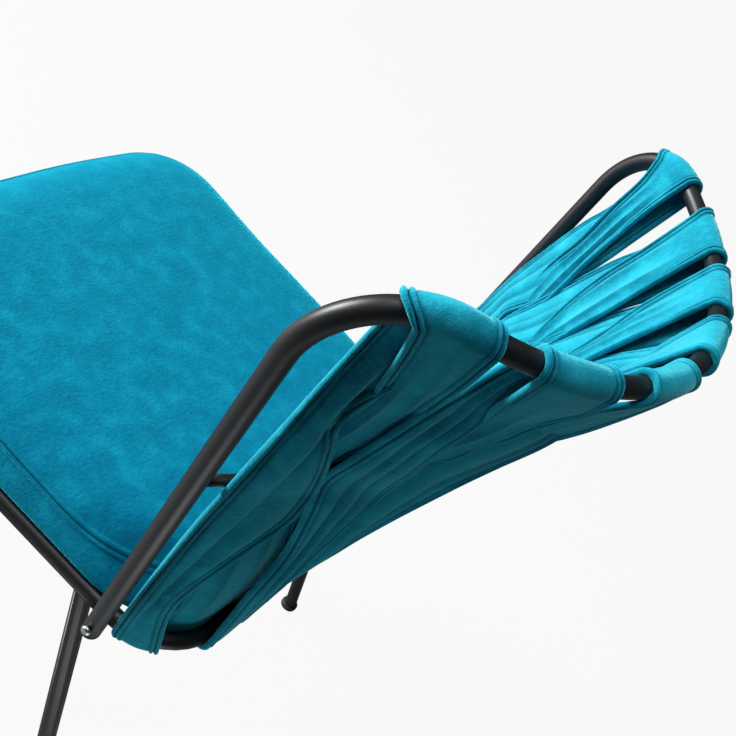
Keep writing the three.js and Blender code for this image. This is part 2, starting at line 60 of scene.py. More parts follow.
# %% Sizes of the frame
TUBE_RADIUS = 9.0
ROD_RADIUS = 5.0
WELD_GAP = 0.3
SEAT_HEIGHT = 450.0
RAIL_HEIGHT = SEAT_HEIGHT + 439.0
RAIL_RADIUS = 330.0
RAIL_TURN = math.radians(52.5)
RAIL_DROP = 7.0
BEND_RADIUS = 77.0
POST_SETBACK = 182.0
RING_HALF = 245.7
RING_BACK = 112.0
RING_RADIUS = 72.0
RING_HEIGHT = 402.2
ROD_HEIGHT = RAIL_HEIGHT - 236.0
ROD_SETBACK = 110.0
BACK_LINE = 0.29726
UP = Vector((0, 0, 1))


def metres(point):
    return Vector((point.x / 1000, point.y / 1000 + BACK_LINE, point.z / 1000))


rail_reach = RAIL_RADIUS * RAIL_TURN
print("half length of the rail's arc, mm:", round(rail_reach, 1))

# %% Centre line of the rail and its bends
def rail_point(angle):
    share = (1 - math.cos(angle)) / (1 - math.cos(RAIL_TURN))
    height = RAIL_HEIGHT - RAIL_DROP * (1 - share)
    return Vector((RAIL_RADIUS * math.sin(angle), RAIL_RADIUS * (math.cos(angle) - 1), height))


rail_end = rail_point(RAIL_TURN)
end_along = Vector((math.cos(RAIL_TURN), -math.sin(RAIL_TURN), 0))
post_foot = Vector((RING_HALF + 2 * TUBE_RADIUS + WELD_GAP, -POST_SETBACK, RING_HEIGHT))
post_down = Vector((0, 0, -1))
for _ in range(30):
    share = post_down.dot(end_along)
    bend_toward = (post_down - end_along * share).normalized()
    bend_angle = math.acos(share)
    post_top = rail_end + end_along * (BEND_RADIUS * math.sin(bend_angle))
    post_top += bend_toward * (BEND_RADIUS * (1 - math.cos(bend_angle)))
    post_down = (post_foot - post_top).normalized()
print("post from", [round(v) for v in post_top], "to", [round(v) for v in post_foot])


def mirrored(vector):
    return Vector((-vector.x, vector.y, vector.z))


def rail_place(distance):
    along = abs(distance)
    angle = min(along, rail_reach) / RAIL_RADIUS
    turn = max(0.0, along - rail_reach) / BEND_RADIUS
    centre = rail_point(angle)
    rise = UP.copy()
    if turn > 0:
        centre = rail_end + end_along * (BEND_RADIUS * math.sin(turn))
        centre += bend_toward * (BEND_RADIUS * (1 - math.cos(turn)))
        rise = end_along * math.sin(turn) - bend_toward * math.cos(turn)
    out = Vector((math.sin(angle), math.cos(angle), 0))
    if distance < 0:
        return mirrored(centre), mirrored(out), mirrored(rise)
    return centre, out, rise

# %% Centre lines of the rod and the ring
rod_meet = post_foot + post_down * ((RING_HEIGHT - ROD_HEIGHT) / -post_down.z)
rod_sag = -rod_meet.y - ROD_SETBACK
ROD_BOW = (rod_meet.x ** 2 + rod_sag ** 2) / (2 * rod_sag)
rod_reach = ROD_BOW * math.asin(rod_meet.x / ROD_BOW)
ring_rear = RING_HALF - RING_RADIUS
ring_quarter = math.pi / 2 * RING_RADIUS


def rod_place(distance):
    angle = distance / ROD_BOW
    centre = Vector((
        ROD_BOW * math.sin(angle),
        -ROD_SETBACK - ROD_BOW * (1 - math.cos(angle)),
        ROD_HEIGHT,
    ))
    return centre, Vector((math.sin(angle), math.cos(angle), 0)), UP


def ring_place(distance):
    along = abs(distance)
    side = 1 if distance >= 0 else -1
    turn = min(max((along - ring_rear) / RING_RADIUS, 0), math.pi / 2)
    past = max(0.0, along - ring_rear - ring_quarter)
    x = min(along, ring_rear) + RING_RADIUS * math.sin(turn)
    y = -RING_BACK - RING_RADIUS * (1 - math.cos(turn)) - past
    return Vector((side * x, y, RING_HEIGHT)), Vector((side * math.sin(turn), math.cos(turn), 0)), UP


def round_tube(place, radius, degrees):
    centre, out, rise = place
    angle = math.radians(degrees)
    return centre + out * (radius * math.cos(angle)) + rise * (radius * math.sin(angle))


print("rod bows with a radius of", round(ROD_BOW), "mm; half length", round(rod_reach))

# %% [markdown]
# ## The camera
# The photograph looks down at the chair's left side from above, and the camera is rolled by some 51
# degrees, so the chair seems to lie on its side. The direction is given by two angles and the roll. The
# lens shift stands for the part of the picture that was cut away, and keeps the perspective right: the
# lens looked at a place to the lower right of the picture's middle, counted here from its upper left.

# %% Camera
AZIMUTH, ELEVATION, ROLL = 85.0455, 36.6660, 50.9200
CAMERA_PLACE = Vector((0.78303, BACK_LINE - 0.07046, 1.19696))
PICTURE_SIZE = 736
LENS_CENTRE = (496.55, 523.18)
turn, tip, roll = (math.radians(degrees) for degrees in (AZIMUTH, ELEVATION, ROLL))
look = Vector((-math.sin(turn) * math.cos(tip), math.cos(turn) * math.cos(tip), -math.sin(tip)))
level = look.cross(UP).normalized()
above = level.cross(look)
camera_right = level * math.cos(roll) + above * math.sin(roll)
camera_up = above * math.cos(roll) - level * math.sin(roll)
camera = bpy.data.objects.new("camera", bpy.data.cameras.new("camera"))
pose = Matrix((camera_right, camera_up, -look)).transposed().to_4x4()
pose.translation = CAMERA_PLACE
camera.matrix_world = pose
camera.data.lens = 48.294
camera.data.sensor_width = 36
camera.data.shift_x = (PICTURE_SIZE / 2 - LENS_CENTRE[0]) / PICTURE_SIZE
camera.data.shift_y = (LENS_CENTRE[1] - PICTURE_SIZE / 2) / PICTURE_SIZE
scene.collection.objects.link(camera)
scene.camera = camera
print("camera at", [round(v, 3) for v in camera.location])

# %% [markdown]
# ## Floor and light
# A product photograph is lit by large soft lamps over a white ground. The main lamp stands in front of
# the chair and a little to its left, so the inside of the back is bright and its outside is in shade.
# The floor is painted white for the camera, but a small part of its colour is still real light and
# shade, so the chair keeps a soft shadow under it.

# %% A helper for node materials
def new_material(name):
    material = bpy.data.materials.new(name)
    material.use_nodes = True
    tree = material.node_tree
    return material, tree, tree.nodes["Principled BSDF"]


def add(tree, kind, **values):
    node = tree.nodes.new(kind)
    for name, value in values.items():
        setattr(node, name, value)
    return node


def seen_by_eye(tree):
    path = add(tree, "ShaderNodeLightPath")
    seen = add(tree, "ShaderNodeMath", operation="MAXIMUM")
    tree.links.new(path.outputs["Is Camera Ray"], seen.inputs[0])
    tree.links.new(path.outputs["Is Transmission Ray"], seen.inputs[1])
    return seen


# %% Floor
FLOOR_HALF = 12
PAPER_SHARE = 0.93
floor_mesh = bpy.data.meshes.new("floor")
bm = bmesh.new()
bmesh.ops.create_grid(bm, x_segments=2, y_segments=2, size=FLOOR_HALF)
bm.to_mesh(floor_mesh)
bm.free()
floor = bpy.data.objects.new("floor", floor_mesh)
floor.location.z = -0.0005
scene.collection.objects.link(floor)

floor_paint, tree, shader = new_material("studio_floor")
shader.inputs["Base Color"].default_value = (0.34, 0.34, 0.35, 1)
shader.inputs["Roughness"].default_value = 0.9
paper = add(tree, "ShaderNodeEmission")
paper.inputs["Color"].default_value = (1, 1, 1, 1)
seen = seen_by_eye(tree)
part = add(tree, "ShaderNodeMath", operation="MULTIPLY")
part.inputs[1].default_value = PAPER_SHARE
tree.links.new(seen.outputs[0], part.inputs[0])
mix = add(tree, "ShaderNodeMixShader")
tree.links.new(part.outputs[0], mix.inputs[0])
tree.links.new(shader.outputs[0], mix.inputs[1])
tree.links.new(paper.outputs[0], mix.inputs[2])
tree.links.new(mix.outputs[0], tree.nodes["Material Output"].inputs["Surface"])
floor_mesh.materials.append(floor_paint)
print("floor, m:", 2 * FLOOR_HALF, "wide; painted white by", PAPER_SHARE)

# %% Sky and lamps
world = bpy.data.worlds.new("studio")
scene.world = world
world.use_nodes = True
tree = world.node_tree
sky = tree.nodes["Background"]
sky.inputs["Color"].default_value = (0.93, 0.97, 1.0, 1)
sky.inputs["Strength"].default_value = 0.055
white = add(tree, "ShaderNodeBackground")
white.inputs["Color"].default_value = (1, 1, 1, 1)
white.inputs["Strength"].default_value = 1.0
seen = seen_by_eye(tree)
mix = add(tree, "ShaderNodeMixShader")
tree.links.new(seen.outputs[0], mix.inputs[0])
tree.links.new(sky.outputs[0], mix.inputs[1])
tree.links.new(white.outputs[0], mix.inputs[2])
tree.links.new(mix.outputs[0], tree.nodes["World Output"].inputs["Surface"])


def add_lamp(name, place, target, size, power, colour):
    lamp = bpy.data.lights.new(name, "AREA")
    lamp.shape = "RECTANGLE"
    lamp.size, lamp.size_y = size
    lamp.energy = power
    lamp.color = colour
    holder = bpy.data.objects.new(name, lamp)
    holder.location = place
    holder.rotation_euler = (Vector(target) - Vector(place)).to_track_quat("-Z", "Y").to_euler()
    scene.collection.objects.link(holder)


add_lamp("front_softbox", (0.7, -2.9, 1.5), (0, -0.1, 0.6), (1.2, 1.0), 192, (1.0, 0.99, 0.97))
add_lamp("top_softbox", (0.3, -0.2, 2.6), (0, 0, 0.5), (1.2, 1.2), 28, (0.95, 0.98, 1.0))
add_lamp("low_fill", (0.45, 0.42, 0.15), (0.22, 0.15, 0.46), (0.3, 0.2), 0.5, (0.95, 0.98, 1.0))
scene.view_settings.view_transform = "Standard"
lamps = [thing for thing in scene.objects if thing.type == "LIGHT"]
print("lamps, W:", {thing.name: round(thing.data.energy, 1) for thing in lamps})

# %% [markdown]
# ## The velvet
# Velvet has a short dense pile that stands up from the cloth. Light goes into it head on and looks deep,
# while the tips catch it at a glancing angle and shine. Where a hand or a crease has laid the pile
# over, the cloth is a shade lighter or darker. The shader's sheen gives the bright edges, helped by a
# painted sheen: the base colour is painted lighter towards glancing angles. The hem grooves, fold valleys
# and seam get painted shade, a darker base colour. A node group gives the rest: large soft patches for
# the laid pile, and a fine grain for the tufts.

# %% Node group for a pile
pile = bpy.data.node_groups.new("pile", "ShaderNodeTree")
for label, kind in (("Colour", "Color"), ("Lit colour", "Color"), ("Deep colour", "Color")):
    pile.interface.new_socket(name=label, in_out="INPUT", socket_type="NodeSocketColor")
for label, start in (("Patch size", 14.0), ("Grain", 900.0), ("Patch strength", 0.5)):
    socket = pile.interface.new_socket(name=label, in_out="INPUT", socket_type="NodeSocketFloat")
    socket.default_value = start
pile.interface.new_socket(name="Colour", in_out="OUTPUT", socket_type="NodeSocketColor")
pile.interface.new_socket(name="Height", in_out="OUTPUT", socket_type="NodeSocketFloat")
group_in = add(pile, "NodeGroupInput")
group_out = add(pile, "NodeGroupOutput")
where = add(pile, "ShaderNodeTexCoord")


def group_noise(scale_from, factor, detail, distortion):
    texture = add(pile, "ShaderNodeTexNoise")
    texture.inputs["Detail"].default_value = detail
    texture.inputs["Distortion"].default_value = distortion
    times = add(pile, "ShaderNodeMath", operation="MULTIPLY")
    times.inputs[1].default_value = factor
    pile.links.new(group_in.outputs[scale_from], times.inputs[0])
    pile.links.new(times.outputs[0], texture.inputs["Scale"])
    pile.links.new(where.outputs["Object"], texture.inputs["Vector"])
    return texture


patches = group_noise("Patch size", 1.0, 7.0, 0.2)
streaks = group_noise("Patch size", 6.0, 3.0, 0.1)
grain = group_noise("Grain", 1.0, 2.0, 0.0)
clumps = group_noise("Grain", 0.3, 1.0, 0.0)
print("noises in the pile:", sum(node.type == "TEX_NOISE" for node in pile.nodes))

# %% The pile's colour and height
def group_range(source, low, high):
    span = add(pile, "ShaderNodeMapRange")
    span.inputs["From Min"].default_value = low
    span.inputs["From Max"].default_value = high
    pile.links.new(source, span.inputs["Value"])
    return span.outputs["Result"]


def group_math(operation, a, b):
    node = add(pile, "ShaderNodeMath", operation=operation)
    for socket, value in zip(node.inputs, (a, b)):
        if isinstance(value, float):
            socket.default_value = value
        else:
            pile.links.new(value, socket)
    return node.outputs[0]


def group_mix(factor, a, b):
    node = add(pile, "ShaderNodeMix", data_type="RGBA")
    pile.links.new(factor, node.inputs[0])
    pile.links.new(a, node.inputs[6])
    pile.links.new(b, node.inputs[7])
    return node.outputs[2]


strength = group_in.outputs["Patch strength"]
lit = group_math("MULTIPLY", group_range(patches.outputs["Fac"], 0.5, 0.72), strength)
deep = group_math("MULTIPLY", group_range(patches.outputs["Fac"], 0.5, 0.3), strength)
fine = group_math("MULTIPLY", group_range(streaks.outputs["Fac"], 0.48, 0.75), strength)
shade = group_mix(deep, group_in.outputs["Colour"], group_in.outputs["Deep colour"])
shade = group_mix(lit, shade, group_in.outputs["Lit colour"])
shade = group_mix(group_math("MULTIPLY", fine, 0.45), shade, group_in.outputs["Lit colour"])
tufts = group_math("MULTIPLY", group_range(grain.outputs["Fac"], 0.42, 0.3), 0.35)
shade = group_mix(tufts, shade, group_in.outputs["Deep colour"])
height = group_math("ADD", grain.outputs["Fac"], group_math("MULTIPLY", clumps.outputs["Fac"], 1.4))
height = group_math("ADD", height, group_math("MULTIPLY", streaks.outputs["Fac"], 0.5))
pile.links.new(shade, group_out.inputs["Colour"])
pile.links.new(height, group_out.inputs["Height"])
print("nodes in the pile:", len(pile.nodes))

# %% Velvet materials
def velvet(name, colour, lit_colour, deep_colour, tint, patch_size, strength, bump):
    material, tree, shader = new_material(name)
    group = add(tree, "ShaderNodeGroup")
    group.node_tree = pile
    for label, value in (("Colour", colour), ("Lit colour", lit_colour), ("Deep colour", deep_colour)):
        group.inputs[label].default_value = (*value, 1)
    group.inputs["Patch size"].default_value = patch_size
    group.inputs["Patch strength"].default_value = strength
    # Painted shade: where the crease attribute is high, in the hem grooves, the fold valleys and the seam,
    # the base colour is darkened towards a deep teal.
    crease = add(tree, "ShaderNodeAttribute", attribute_name="crease")
    crease_shade_share = add(tree, "ShaderNodeMath", operation="MULTIPLY")
    crease_shade_share.inputs[1].default_value = 0.95
    tree.links.new(crease.outputs["Fac"], crease_shade_share.inputs[0])
    painted_crease_shade = add(tree, "ShaderNodeMix", data_type="RGBA")
    painted_crease_shade.inputs[7].default_value = (colour[0] * 0.2, colour[1] * 0.22, colour[2] * 0.25, 1)
    tree.links.new(crease_shade_share.outputs[0], painted_crease_shade.inputs[0])
    tree.links.new(painted_crease_shade.outputs[2], shader.inputs["Base Color"])
    relief = add(tree, "ShaderNodeBump")
    relief.inputs["Strength"].default_value = bump
    relief.inputs["Distance"].default_value = 0.0006
    tree.links.new(group.outputs["Height"], relief.inputs["Height"])
    tree.links.new(relief.outputs["Normal"], shader.inputs["Normal"])
    # Painted sheen: the base colour is mixed towards the lit colour as the surface turns away from the
    # view, on top of the shader's own sheen.
    glance = add(tree, "ShaderNodeLayerWeight")
    glance.inputs["Blend"].default_value = 0.3
    tree.links.new(relief.outputs["Normal"], glance.inputs["Normal"])
    painted_glancing_sheen = add(tree, "ShaderNodeMix", data_type="RGBA")
    painted_glancing_sheen.inputs[7].default_value = (*lit_colour, 1)
    tree.links.new(glance.outputs["Facing"], painted_glancing_sheen.inputs[0])
    tree.links.new(group.outputs["Colour"], painted_glancing_sheen.inputs[6])
    tree.links.new(painted_glancing_sheen.outputs[2], painted_crease_shade.inputs[6])
    shader.inputs["Roughness"].default_value = 0.88
    shader.inputs["Specular IOR Level"].default_value = 0.04
    shader.inputs["Sheen Weight"].default_value = 0.9
    shader.inputs["Sheen Roughness"].default_value = 0.3
    shader.inputs["Sheen Tint"].default_value = (*tint, 1)
    return material


strap_velvet = velvet(
    "strap_velvet", (0.0015, 0.19, 0.29), (0.03, 0.5, 0.64), (0.0005, 0.09, 0.16),
    tint=(0.3, 0.9, 1.0), patch_size=24.0, strength=0.6, bump=0.6,
)
cushion_velvet = velvet(
    "cushion_velvet", (0.0004, 0.155, 0.265), (0.006, 0.3, 0.44), (0.0002, 0.09, 0.17),
    tint=(0.05, 0.8, 1.0), patch_size=42.0, strength=0.55, bump=0.6,
)
print("velvets:", strap_velvet.name, cushion_velvet.name)

# %% [markdown]
# ## The strap's route
# The strap is one long padded band, about 70 mm wide over the rail, with rolled hems. It is wound in a
# figure of eight. One half of a wrap falls from the outside of the rail, in front of the lumbar rod and
# inside the seat ring. The other half rises outside the ring and behind the rod to the inside of the
# rail. Halfway down, the two pass each other side by side. A flat grid would do for a straight band,
# but this one twists, so each wrap is laid out as a set of lengthwise threads, smoothed like the
# battens of a boat's hull. The places of the seven wraps follow the photograph, where they lie unevenly.

# %% Places of the seven wraps, in millimetres from the middle of the back, first at the sitter's left
TOP_EDGES = [(279, 345), (167, 245), (48, 124), (-74, 2), (-166, -98), (-255, -187), (-352, -290)]
RAIL_PLACES = [307, 195, 82, -39, -138, -224, -324]
FALL_PLACES = [200, 125, 50, -25, -99, -173, -250]
RISE_PLACES = [237, 162, 87, 12, -62, -137, -212]
RING_PLACES = [248, 164, 73, -3, -70, -137, -204, -271]
RING_SPREADS = [19, 29, 31, 31, 31, 31, 31, 23]
BULGES = [12, 24, 44, 44, 12, 4, 2]
LATE_WRAPS = (4, 5, 6)
RAIL_STEPS = {1: 5, -1: 4}
RING_STEPS = 5
STRAP_HALF = 1.7
GAP = 0.9
END_GAP = 0.2
print("wraps:", len(RAIL_PLACES))

# %% [markdown]
# Where the falling half of a wrap crosses from outside to inside, the rising half crosses the other way
# beside it, and each is squeezed, while the first wrap spreads near the ring and the third below the
# rail. The edges follow the photograph, so their distance varies more than a real strap's width would.
# The tables give them in millimetres, measured sideways from the half's middle line, at shares of the
# way: 0 where it leaves the rail, 1 at the rod and 2 at the ring.

# %% Edges of the falling halves
FALL_EDGES = [
    [(0, -31, 30), (0.2, -37, 21), (0.4, -42, 15), (0.58, -46, 19), (0.8, -48, 30), (1, -42, 33),
     (1.3, -36, 48), (1.5, -38, 60), (1.75, -38, 68), (2, -30, 78)],
    [(0, -29, 48), (0.12, -40, 40), (0.21, -40, 34), (0.36, -40, 22), (0.48, -40, 19), (0.64, -40, 20),
     (0.8, -38, 28), (0.9, -24, 30), (1, -34, 32), (1.5, -31, 33), (2, -31, 31)],
    [(0, -42, 46), (0.06, -42, 60), (0.13, -38, 64), (0.31, -38, 60), (0.5, -38, 46), (0.64, -38, 36),
     (0.8, -36, 28), (1, -33, 33), (2, -31, 31)],
    [(0, -42, 40), (0.15, -42, 26), (0.3, -44, 6), (0.45, -44, 8), (0.6, -40, 16), (0.8, -35, 28),
     (1, -33, 33), (2, -31, 31)],
    [(0, -37, 38), (0.25, -35, 46), (0.5, -39, 42), (0.75, -34, 38), (0.88, -33, 37), (1, -33, 33),
     (1.5, -31, 31), (2, -31, 31)],
    [(0, -38, 37), (0.22, -36, 43), (0.4, -43, 39), (0.6, -45, 36), (0.82, -45, 33), (1, -41, 33),
     (1.5, -32, 31), (2, -31, 31)],
    [(0, -34, 36), (0.3, -33, 40), (0.45, -43, 42), (0.6, -47, 39), (0.75, -49, 34), (0.87, -50, 28),
     (1, -47, 24), (1.5, -36, 26), (2, -23, 23)],
]

# %% Edges of the rising halves
RISE_EDGES = [
    [(0, -28, 38), (0.2, -20, 39), (0.4, 1, 41), (0.55, 8, 42), (0.68, -4, 43), (0.82, -17, 44),
     (0.96, -28, 45), (1, -30, 45), (1.14, -30, 43), (1.4, -8, 38), (1.7, 2, 32), (2, -14, 26)],
    [(0, -28, 45), (0.12, 14, 50), (0.24, 16, 51), (0.38, 4, 51), (0.58, -2, 47), (0.8, -18, 42),
     (1, -33, 31), (1.16, -33, 23), (1.45, -33, 11), (1.65, -32, 18), (2, -29, 29)],
    [(0, -36, 42), (0.15, -28, 41), (0.34, -32, 40), (0.55, -33, 38), (0.8, -33, 36), (1, -33, 33),
     (1.5, -32, 28), (2, -31, 31)],
    [(0, -31, 42), (0.15, -33, 41), (0.34, -33, 38), (0.55, -33, 31), (0.8, -33, 33), (1, -33, 33),
     (1.5, -32, 30), (2, -31, 31)],
    [(0, -27, 37), (0.3, -31, 37), (0.47, -21, 39), (0.65, -9, 40), (0.86, 2, 40), (1, -14, 36),
     (1.3, -32, 32), (2, -31, 31)],
    [(0, -26, 37), (0.25, -31, 34), (0.45, -38, 33), (0.65, -33, 31), (0.86, -6, 31), (1, -15, 31),
     (1.3, -32, 31), (2, -31, 31)],
    [(0, -21, 35), (0.12, -18, 28), (0.28, -25, 22), (0.5, -30, 16), (0.7, -41, 16), (0.88, -38, 18),
     (1, -38, 22), (2, -31, 31)],
]
print("stations on each half:", [len(rows) for rows in FALL_EDGES + RISE_EDGES])

# %% [markdown]
# The strap isn't wound equally tight everywhere. Some halves hang outwards, away from the sitter, most of
# all the ones near the sitter's left side. Each row says how far: the share of the way, then the slack of
# the half's two edges in millimetres. A half is named by the wrap's number, counted from 0, and by 1 for
# the falling or -1 for the rising half.

# %% Slack of the loose halves
SLACK = {
    (0, 1): [(0, 0, 0), (1, 0, 0), (1.3, 2, 0), (1.5, 13, 2), (1.75, 13, 2), (1.93, 2, 0), (2, 0, 0)],
    (1, 1): [(0, 0, 0), (0.12, 4, 0), (0.21, 5, 0), (0.36, 9, 2), (0.48, 14.8, 3), (0.64, 19, 4),
             (0.8, 25, 4), (0.92, 10, 0), (1, 0, 0), (2, 0, 0)],
    (2, 1): [(0, 0, 0), (0.13, 10, 0), (0.31, 22, -2), (0.5, 33, -2), (0.64, 37, 0), (0.8, 26, 2),
             (0.92, 8, 0), (1, 0, 0), (2, 0, 0)],
    (2, -1): [(0, 0, 0), (0.3, 0, 0), (0.46, 8, 2), (0.6, 9, 2), (0.92, 5, 0), (1.1, 5, 0),
              (1.33, 1, 0), (2, 0, 0)],
}


def row_at(rows, share):
    for (a, *low), (b, *high) in zip(rows[:-1], rows[1:]):
        if share <= b:
            part = (share - a) / (b - a)
            return [x + (y - x) * part for x, y in zip(low, high)]
    return rows[-1][1:]


def between(low, high, across):
    return (low + high) / 2 + across * (high - low) / 2


def slack(wrap, side, share, across):
    if (wrap, side) not in SLACK:
        return 0.0
    return between(*row_at(SLACK[wrap, side], share), across)


print("most slack, mm:", max(row[1] for rows in SLACK.values() for row in rows))

# %% Which half lies nearer the sitter
# Straight runs would change sides some 60 % of the way down. In the wraps where the photograph shows them
# change lower, near the rod, the edges concerned are held apart until then.
HELD = [(0, 0), (0.4, 0), (0.6, 2.8), (0.75, 5.6), (0.84, 6.4), (0.9, 4.5), (0.96, 1.5), (1, 0)]


def held_apart(wrap, share):
    return row_at(HELD, share)[0] if wrap in LATE_WRAPS and share < 1 else 0.0


print("held apart near the rod, mm:", round(held_apart(LATE_WRAPS[0], 0.8), 1))

# %% One lengthwise thread of half a wrap
def leaving_angle(place, radius, point, side):
    centre, out, rise = place
    way = point - centre
    reach = math.hypot(way.dot(out), way.dot(rise))
    toward = math.atan2(way.dot(rise), way.dot(out))
    degrees = math.degrees(toward + side * math.acos(radius / reach))
    return degrees + 360 if side < 0 and degrees < 0 else degrees


def steps(start, end, count):
    return [start + (end - start) * i / count for i in range(count + 1)]


def thread(wrap, across, side):
    radius = TUBE_RADIUS + GAP + STRAP_HALF
    rod_radius = ROD_RADIUS + GAP + STRAP_HALF
    lane = wrap + 1 if side > 0 else wrap
    rod_angle = 180 if side > 0 else 0
    edges = (FALL_EDGES if side > 0 else RISE_EDGES)[wrap]
    rod_middle = (FALL_PLACES if side > 0 else RISE_PLACES)[wrap]
    bulge = 0 if side > 0 else BULGES[wrap] * (1 - across) / 2
    rail_middle = RAIL_PLACES[wrap]
    offsets = [(share, between(low, high, across)) for share, low, high in edges]
    touch = round_tube(rod_place(rod_middle + dict(offsets)[1]), rod_radius + bulge, rod_angle)
    left = rail_middle + offsets[0][1]
    leave = leaving_angle(rail_place(left), radius, touch, side)
    top = between(*TOP_EDGES[wrap], across)
    points = []
    for number, angle in enumerate(steps(90, leave, RAIL_STEPS[side])):
        share = (number / RAIL_STEPS[side]) ** 1.3
        points.append(round_tube(rail_place(top + (left - top) * share), radius, angle))
    for share, offset in offsets[1:-1]:
        low = rod_place(rod_middle + offset)
        point = round_tube(low, rod_radius + bulge, rod_angle)
        if share <= 1:
            high = round_tube(rail_place(rail_middle + offset), radius, leave)
            point = high.lerp(point, share)
            point += low[1] * (side * held_apart(wrap, share) * (1 + side * across) / 2)
        else:
            foot = round_tube(ring_place(RING_PLACES[lane] + offset), radius, rod_angle)
            point = point.lerp(foot, share - 1)
        points.append(point + low[1] * slack(wrap, side, share, across))
    start = RING_PLACES[lane] + offsets[-1][1]
    end = RING_PLACES[lane] + across * RING_SPREADS[lane]
    for number, angle in enumerate(steps(rod_angle, 270 if side > 0 else -90, RING_STEPS)):
        ring = ring_place(start + (end - start) * number / RING_STEPS)
        points.append(round_tube(ring, radius, angle))
    points[-1] = points[-1] - ring[1] * (side * END_GAP)
    return points


def station_shares(wrap, side):
    edges = (FALL_EDGES if side > 0 else RISE_EDGES)[wrap]
    return [0.0] * (RAIL_STEPS[side] + 1) + [row[0] for row in edges[1:-1]] + [2.0] * (RING_STEPS + 1)


print("stations on a falling half:", len(thread(0, 0, 1)), "and a rising half:", len(thread(0, 0, -1)))

# %% Smooth threads through the stations
def smooth(points, knots, counts):
    slopes = []
    last = len(points) - 1
    for i in range(last + 1):
        a, b = max(0, i - 1), min(last, i + 1)
        slopes.append((points[b] - points[a]) / (knots[b] - knots[a]))
    line = []
    for i in range(last):
        span = knots[i + 1] - knots[i]
        for j in range(counts[i]):
            t = j / counts[i]
            line.append(
                points[i] * (2 * t ** 3 - 3 * t ** 2 + 1)
                + slopes[i] * (span * (t ** 3 - 2 * t ** 2 + t))
                + points[i + 1] * (3 * t ** 2 - 2 * t ** 3)
                + slopes[i + 1] * (span * (t ** 3 - t ** 2))
            )
    line.append(points[-1].copy())
    return line


THREADS = 15
ROW_STEP = 4.5


def strap_surface(wrap):
    battens = []
    for j in range(THREADS):
        across = -1 + 2 * j / (THREADS - 1)
        battens.append(thread(wrap, across, 1)[::-1] + thread(wrap, across, -1)[1:])
    middle = battens[THREADS // 2]
    knots = [0.0]
    for a, b in zip(middle[:-1], middle[1:]):
        knots.append(knots[-1] + (b - a).length)
    counts = [max(2, round((b - a) / ROW_STEP)) for a, b in zip(knots[:-1], knots[1:])]
    lines = [smooth(batten, knots, counts) for batten in battens]
    marks = [-share for share in station_shares(wrap, 1)[::-1]] + station_shares(wrap, -1)[1:]
    shares = []
    for a, b, count in zip(marks[:-1], marks[1:], counts):
        shares += [a + (b - a) * j / count for j in range(count)]
    return lines, shares + [marks[-1]]


lines, shares = strap_surface(0)
print("rows along a wrap:", len(shares), "from share", shares[0], "to", shares[-1])

# %% [markdown]
# ## The strap's section
# Cut across, the band is a soft sleeve, some 3 mm thick where it is drawn tight and 7 mm in its free runs.
# Each edge is turned over and sewn twice, which leaves two small rolls, each with a groove beside it that
# is painted dark as shade.
# A grid is made as one sheet that goes round the section, bent onto the threads, and closed along its
# seam and its two ends.

# %% Section of the strap, as distance from the edge and height over the middle layer
HEM = [(0.0, 0.0), (0.3, 1.4), (1.1, 2.5), (2.2, 3.0), (3.4, 2.6), (4.2, 1.5), (4.7, 0.5)]
HEM += [(5.2, 1.4), (6.0, 2.4), (7.0, 2.8), (8.2, 2.2), (9.2, 0.9), (10.2, 1.2)]
BODY_SHARES = [i / 9 for i in range(1, 10)]
HEM_ROOM = 19.0
BODY_HEIGHT = 1.2
TIGHT_PUFF, FREE_PUFF = 0.5, 1.9


def section(half_width, free=0.0):
    scale = min(1.0, half_width / HEM_ROOM)
    hem = [(d * scale, h) for d, h in HEM]
    start = hem[-1][0]
    left = list(hem)
    for share in BODY_SHARES:
        puff = (TIGHT_PUFF + FREE_PUFF * free) * math.sin(share * math.pi / 2)
        left.append((start + (half_width - start) * share, BODY_HEIGHT + puff))
    one = [(-half_width + d, h) for d, h in left] + [(half_width - d, h) for d, h in reversed(left[:-1])]
    other = [(x, -h) for x, h in reversed(one[1:-1])]
    return one + other


AROUND = len(section(30.0))
print("points round the section:", AROUND)

# %% [markdown]
# Along its free runs the cloth lies in three long soft rolls with sharp valleys between them, which fade
# out where it is drawn tight over the rail. The narrower the strap is at a place, the higher its rolls
# have to be to hold the same width of cloth. The first wrap's rising half is folded over on itself in one
# deep pleat, so there one valley follows the pleat and the cloth on one side of it lies on top. Folds
# made by a cloth simulation would be softer, but they wouldn't lie where the photograph has them.

# %% Long folds in the free runs
FULL_WIDTH = 76.0
LOWEST_FOLD, HIGHEST_FOLD = -3.0, 4.5
ROLL_HEIGHT = 0.42
LOOSE_RISE = 1.2
PLEAT_WRAP = (0, -1)
PLEAT_START = 0.45
PLEAT_RISE = 5.0
PLEAT = [(0.0, 9), (0.53, 10.5), (0.83, 10.5), (1.03, 12.6), (1.2, 15), (1.65, 18), (2.0, 16)]


def valleys(wrap, side, share):
    if (wrap, side) == PLEAT_WRAP:
        low, high = row_at(RISE_EDGES[0], share)
        middle = (2 * row_at(PLEAT, share)[0] - low - high) / max(20.0, high - low)
        return (-1.0, max(-0.9, min(0.6, middle)), 0.75, 1.0)
    first = -0.34 + 0.16 * math.sin(2.3 * wrap + 1.2 * share + side)
    second = 0.33 + 0.14 * math.sin(1.9 * wrap - 1.1 * share + 2 * side)
    return (-1.0, first, second, 1.0)


